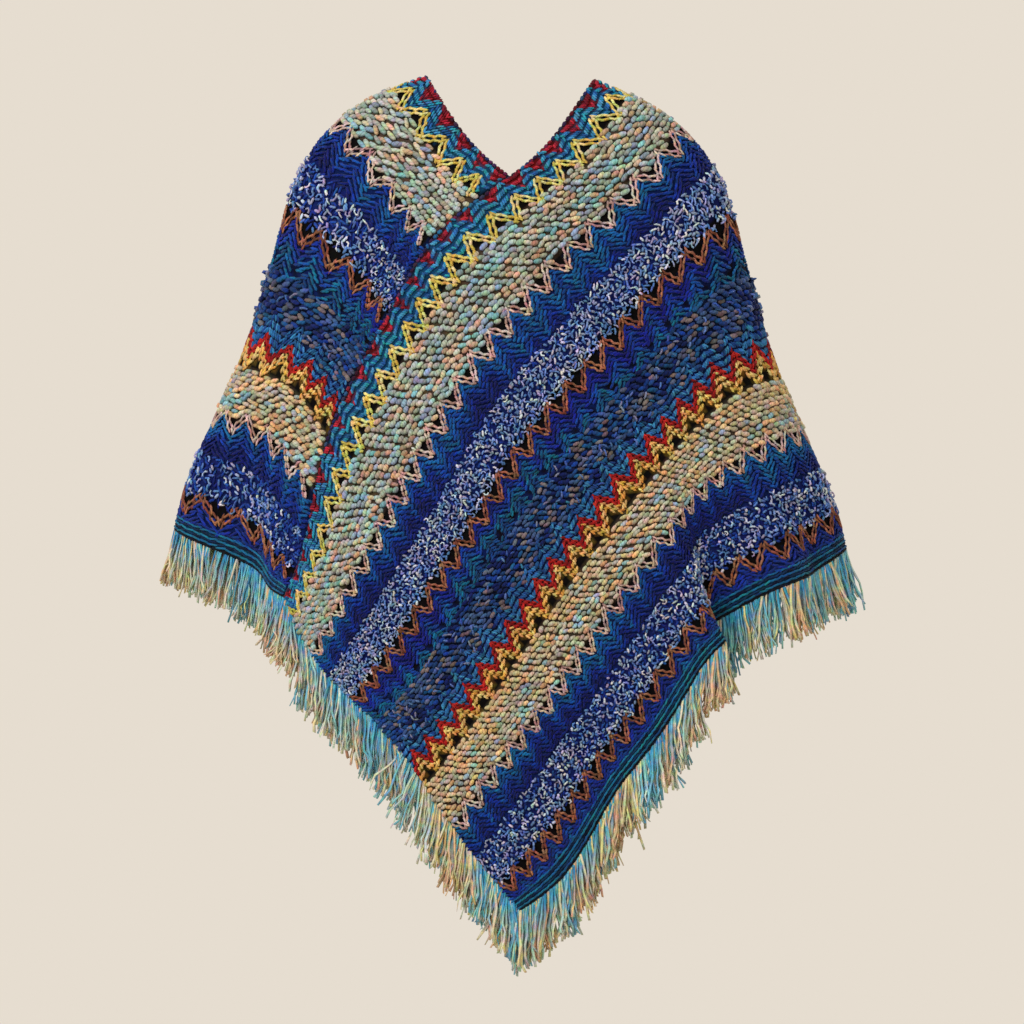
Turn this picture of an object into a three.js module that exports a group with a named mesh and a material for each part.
// A knitted poncho of two oblong panels, in millimetres, Z up, front toward -Y.
// Each panel's far end is sewn to the other's inner edge, which leaves a V neck front and back.
// Origin: middle of the neck opening, level with the shoulders where the wearer holds it up.
import * as THREE from "three";

// Cut of one panel and of its cloth
const panelWidth = 520;
const neckEdge = 160;
const panelLength = panelWidth + 2 * neckEdge;
const wall = 3;
const seamGap = 0.5;
const step = 20;

// Cross lines of the front-right panel, from its front end over the shoulder to the back.
// along: distance from the front end. Each row gives the line's place at five equal steps
// from the inner edge to the hem: side is +X, front is -Y and drop is below the shoulders.
const crossLines = [
  { along: 0, side: [-234, -190, -123, -55, 11], front: [159, 181, 208, 227, 241], drop: [567, 642, 704, 796, 873] },
  { along: 90, side: [-213, -152, -81, -8, 61], front: [145, 183, 208, 223, 231], drop: [504, 579, 657, 729, 831] },
  { along: 180, side: [-194, -108, -38, 37, 106], front: [132, 174, 201, 215, 217], drop: [408, 505, 588, 669, 759] },
  { along: 270, side: [-159, -65, 9, 82, 150], front: [121, 158, 186, 199, 200], drop: [323, 428, 517, 604, 699] },
  { along: 360, side: [-116, -16, 58, 131, 197], front: [112, 141, 164, 179, 182], drop: [242, 345, 446, 535, 622] },
  { along: 440, side: [-73, 39, 108, 181, 214], front: [100, 124, 141, 155, 160], drop: [174, 275, 383, 470, 590] },
  { along: 520, side: [0, 98, 162, 218, 267], front: [84, 101, 109, 121, 126], drop: [114, 206, 321, 430, 550] },
  { along: 600, side: [54, 169, 218, 283, 340], front: [58, 78, 82, 86, 80], drop: [57, 132, 263, 391, 519] },
  { along: 680, side: [91, 212, 268, 314, 342], front: [4, 0, -4, -8, -8], drop: [-2, 80, 242, 380, 507] },
  { along: 760, side: [52, 146, 202, 260, 278], front: [-58, -80, -92, -104, -106], drop: [63, 160, 284, 402, 546] },
];

// Largest folds, running down to the hem: where each crosses it, its half width, how far it
// stands out on one side and sinks on the other, and the distance from the neck where it dies out.
const folds = [
  { along: 424, half: 33, stands: 25, from: 300 },
  { along: 572, half: 26, stands: 15, from: 360 },
  { along: 716, half: 34, stands: 22, from: 320 },
  { along: 236, half: 60, stands: -7, from: 260 },
];

// Looped bands stand a little proud of the smooth ones
const loopedBands = [
  { from: 50, to: 105, proud: 0.8 },
  { from: 215, to: 275, proud: 0.6 },
  { from: 335, to: 395, proud: 0.8 },
];

// The whole garment hangs lower on its right
const tilt = 0.03;

const fringe = { long: 77, short: 48, length: 61, width: 7.6, strip: 3.2, gap: 0.7, inset: 5 };

// Natural cubic curve through values at given stations
function curve(stations, values) {
  const n = stations.length;
  const bend = new Array(n).fill(0);
  const carry = new Array(n).fill(0);
  for (let i = 1; i < n - 1; i++) {
    const before = stations[i] - stations[i - 1];
    const after = stations[i + 1] - stations[i];
    const share = before / (before + after);
    const pivot = share * bend[i - 1] + 2;
    bend[i] = (share - 1) / pivot;
    const turn = (values[i + 1] - values[i]) / after - (values[i] - values[i - 1]) / before;
    carry[i] = (6 * turn / (before + after) - share * carry[i - 1]) / pivot;
  }
  bend[n - 1] = 0;
  for (let i = n - 2; i >= 0; i--) bend[i] = bend[i] * bend[i + 1] + carry[i];
  return (t) => {
    let i = 0;
    while (i < n - 2 && t > stations[i + 1]) i++;
    const h = stations[i + 1] - stations[i];
    const a = (stations[i + 1] - t) / h;
    const b = 1 - a;
    return a * values[i] + b * values[i + 1] + ((a ** 3 - a) * bend[i] + (b ** 3 - b) * bend[i + 1]) * h * h / 6;
  };
}

const halfTurn = (p) => new THREE.Vector3(-p.x, -p.y, p.z);
const smooth = (t) => {
  const s = Math.min(1, Math.max(0, t));
  return s * s * (3 - 2 * s);
};

// The panel's back end lies on the other panel's inner edge, which is its own turned half round
const stations = [...crossLines.map((row) => row.along), panelLength];
const stops = [0, 1, 2, 3, 4].map((i) => i * panelWidth / 4);
const rowAt = (i) => stops.map((_, j) =>
  new THREE.Vector3(crossLines[i].side[j], -crossLines[i].front[j], -crossLines[i].drop[j]));
const rows = crossLines.map((_, i) => rowAt(i));
const bottomOfV = rows[stations.indexOf(panelWidth)][0];
const innerPoints = [...rows.map((row) => row[0]), halfTurn(bottomOfV)];
const innerCurves = ["x", "y", "z"].map((axis) => curve(stations, innerPoints.map((p) => p[axis])));
const innerEdge = (along) => new THREE.Vector3(...innerCurves.map((c) => c(along)));
rows.push(stops.map((out) => halfTurn(innerEdge(panelWidth - out))));
const lengthwise = stops.map((_, j) =>
  ["x", "y", "z"].map((axis) => curve(stations, rows.map((row) => row[j][axis]))));

function plainCloth(along, out) {
  const across = lengthwise.map((line) => line.map((c) => c(along)));
  return new THREE.Vector3(...[0, 1, 2].map((k) => curve(stops, across.map((p) => p[k]))(out)));
}

// Cloth without its folds, its back end laid exactly on the seam
function seamedCloth(along, out) {
  const p = plainCloth(along, out);
  const near = smooth((along - panelLength + 160) / 160);
  if (near > 0) {
    const miss = halfTurn(innerEdge(panelWidth - out)).sub(plainCloth(panelLength, out));
    p.addScaledVector(miss, near);
  }
  return p;
}

function facing(surface, along, out) {
  const a = Math.min(panelLength - 1, Math.max(1, along));
  const o = Math.min(panelWidth - 1, Math.max(1, out));
  const lengthways = surface(a + 1, o).sub(surface(a - 1, o)).normalize();
  const outward = surface(a, o + 1).sub(surface(a, o - 1)).normalize();
  return { lengthways, outward, normal: outward.clone().cross(lengthways).normalize() };
}

function cloth(along, out) {
  const p = seamedCloth(along, out);
  let lift = 0;
  for (const fold of folds) {
    const s = (along - fold.along) / fold.half;
    const grow = smooth((out - fold.from) / (panelWidth - fold.from));
    lift -= fold.stands * 1.65 * s * Math.exp(-s * s / 2) * grow;
  }
  if (Math.abs(lift) > 0.01) p.addScaledVector(facing(seamedCloth, along, out).normal, lift);
  return p;
}

const proud = (out) => loopedBands.reduce((sum, band) =>
  sum + band.proud * smooth((out - band.from) / 20 + 0.5) * smooth((band.to - out) / 20 + 0.5), 0);

// Outward direction of the wall, shared by both panels where they are sewn together
function wallNormal(along, out) {
  const own = facing(cloth, along, out).normal;
  if (out === 0 && along <= panelWidth) {
    own.add(halfTurn(facing(cloth, panelLength, panelWidth - along).normal)).normalize();
  } else if (along === panelLength) {
    own.add(halfTurn(facing(cloth, panelWidth - out, 0).normal)).normalize();
  }
  return own;
}

const hang = (p) => {
  p.z -= tilt * p.x;
  return p;
};

function closedMesh(name, points, triangles, material) {
  const geometry = new THREE.BufferGeometry();
  geometry.setAttribute("position", new THREE.Float32BufferAttribute(points.flatMap((p) => [p.x, p.y, p.z]), 3));
  geometry.setIndex(triangles.flat());
  geometry.computeVertexNormals();
  const mesh = new THREE.Mesh(geometry, material);
  mesh.name = name;
  return mesh;
}

// One panel's wall: an outer and an inner sheet of points joined round the four edges
function panel(name, turn, material) {
  const nLong = panelLength / step;
  const nWide = panelWidth / step;
  const outer = [];
  const inner = [];
  for (let i = 0; i <= nLong; i++) {
    for (let j = 0; j <= nWide; j++) {
      const along = i * step;
      const out = j * step;
      const p = cloth(along, out);
      const lie = facing(cloth, along, out);
      if (j === 0 && along <= panelWidth) p.addScaledVector(lie.outward, seamGap / 2);
      if (i === nLong) p.addScaledVector(lie.lengthways, -seamGap / 2);
      const normal = wallNormal(along, out);
      const edge = i === 0 || i === nLong || j === 0 || j === nWide;
      outer.push(hang(turn(p.clone().addScaledVector(normal, edge ? 0 : proud(out)))));
      inner.push(hang(turn(p.clone().addScaledVector(normal, -wall))));
    }
  }
  const count = outer.length;
  const at = (i, j) => i * (nWide + 1) + j;
  const triangles = [];
  for (let i = 0; i < nLong; i++) {
    for (let j = 0; j < nWide; j++) {
      const [a, b, c, d] = [at(i, j), at(i + 1, j), at(i + 1, j + 1), at(i, j + 1)];
      triangles.push([a, d, b], [b, d, c]);
      triangles.push([a + count, b + count, d + count], [b + count, c + count, d + count]);
    }
  }
  const rim = [];
  for (let i = 0; i < nLong; i++) rim.push(at(i, 0));
  for (let j = 0; j < nWide; j++) rim.push(at(nLong, j));
  for (let i = nLong; i > 0; i--) rim.push(at(i, nWide));
  for (let j = nWide; j > 0; j--) rim.push(at(0, j));
  rim.forEach((a, k) => {
    const b = rim[(k + 1) % rim.length];
    triangles.push([a, b, a + count], [b, b + count, a + count]);
  });
  const points = [...outer, ...inner];
  return closedMesh(name, points, outwardFacing(points, triangles), material);
}

// Small repeatable unevenness between -1 and 1
const uneven = (n, salt) => Math.sin(n * 12.9898 + salt * 78.233) * 43758.5453 % 1;

// Place and directions on a hem: the long hem runs at the full width, the end hem at the front end
function onHem(kind, t) {
  const along = kind === "long" ? t : 0;
  const out = kind === "long" ? panelWidth : t;
  const lie = facing(cloth, along, out);
  const off = kind === "long" ? lie.outward : lie.lengthways.clone().negate();
  return { point: cloth(along, out), off, normal: lie.normal };
}

// The same between two of the wall's points, so that a root meets the straight-sided strip
function onStraightHem(kind, t) {
  const from = Math.floor(t / step) * step;
  const share = (t - from) / step;
  const [a, b] = [onHem(kind, from), onHem(kind, from + step)];
  return {
    point: a.point.lerp(b.point, share),
    off: a.off.lerp(b.off, share).normalize(),
    normal: a.normal.lerp(b.normal, share).normalize(),
  };
}

// Locks of loose yarn hanging from a narrow knotted strip under a hem, made as one comb
function fringeOf(name, kind, turn, material) {
  const reach = kind === "long" ? panelLength : panelWidth;
  const locks = fringe[kind];
  const pitch = (reach - 2 * fringe.inset) / locks;
  const points = [];
  const triangles = [];
  const quad = (a, b, c, d) => triangles.push([a, b, c], [a, c, d]);
  const put = (p) => points.push(hang(turn(p))) - 1;
  // Section of the strip: top and bottom corners, front then back
  const section = (t) => {
    const { point, off, normal } = onStraightHem(kind, t);
    const corner = (o, n) => put(point.clone().addScaledVector(off, o).addScaledVector(normal, n));
    const low = fringe.gap + fringe.strip;
    return [corner(fringe.gap, -0.1), corner(low, -0.1), corner(low, -2.7), corner(fringe.gap, -2.7)];
  };
  let last = section(fringe.inset);
  quad(last[0], last[1], last[2], last[3]);
  for (let k = 0; k < locks; k++) {
    const middle = fringe.inset + pitch * (k + 0.5);
    const half = fringe.width / 2;
    const left = section(middle - half);
    const right = section(middle + half);
    for (const [from, to] of [[last, left], [left, right]]) {
      quad(from[0], to[0], to[1], from[1]);
      quad(from[2], to[2], to[3], from[3]);
      quad(from[3], to[3], to[0], from[0]);
    }
    quad(last[1], left[1], left[2], last[2]);
    // The lock itself, from the strip's underside to its loose end
    const { point, off, normal } = onStraightHem(kind, middle);
    const wide = lieAlong(kind, middle).normalize();
    const swing = uneven(k, kind === "long" ? 1 : 2);
    const length = fringe.length + 5 * uneven(k, 3);
    const fall = new THREE.Vector3(0, 0, -1).addScaledVector(normal, 0.1).addScaledVector(wide, 0.04 * swing);
    fall.normalize();
    const lean = off.clone().lerp(fall, 0.75).normalize();
    const root = point.clone().addScaledVector(off, fringe.gap + fringe.strip).addScaledVector(normal, -1.4);
    const knee = root.clone().addScaledVector(lean, length * 0.28);
    const tip = knee.clone().addScaledVector(fall, length * 0.72);
    let ring = [left[1], right[1], right[2], left[2]];
    for (const [centre, size] of [[knee, 0.9], [tip, 0.6]]) {
      const [w, h] = [half * size, 1.3 * size];
      const next = [[-w, h], [w, h], [w, -h], [-w, -h]].map(([a, b]) =>
        put(centre.clone().addScaledVector(wide, a).addScaledVector(normal, b)));
      for (let i = 0; i < 4; i++) quad(ring[i], ring[(i + 1) % 4], next[(i + 1) % 4], next[i]);
      ring = next;
    }
    quad(ring[0], ring[1], ring[2], ring[3]);
    last = right;
  }
  const end = section(reach - fringe.inset);
  for (let i = 0; i < 4; i++) quad(last[i], end[i], end[(i + 1) % 4], last[(i + 1) % 4]);
  quad(end[0], end[3], end[2], end[1]);
  return closedMesh(name, points, outwardFacing(points, triangles), material);
}

const lieAlong = (kind, t) => onHem(kind, t + 1).point.sub(onHem(kind, t - 1).point);

// The same triangles, turned over if they enclose a negative volume
function outwardFacing(points, triangles) {
  const volume = triangles.reduce((sum, [a, b, c]) =>
    sum + points[a].dot(points[b].clone().cross(points[c])), 0);
  return volume > 0 ? triangles : triangles.map(([a, b, c]) => [a, c, b]);
}

const knit = new THREE.MeshStandardMaterial({ color: 0x2c4a8c, roughness: 0.95, name: "knit" });
const yarn = new THREE.MeshStandardMaterial({ color: 0xc8c4a4, roughness: 0.95, name: "yarn" });
const asCut = (p) => p;

const poncho = new THREE.Group();
poncho.name = "knitted_poncho";
poncho.add(panel("panel_right", asCut, knit));
poncho.add(panel("panel_left", halfTurn, knit));
poncho.add(fringeOf("fringe_right_hem", "long", asCut, yarn));
poncho.add(fringeOf("fringe_left_hem", "long", halfTurn, yarn));
poncho.add(fringeOf("fringe_front_end", "short", asCut, yarn));
poncho.add(fringeOf("fringe_back_end", "short", halfTurn, yarn));

export default poncho;
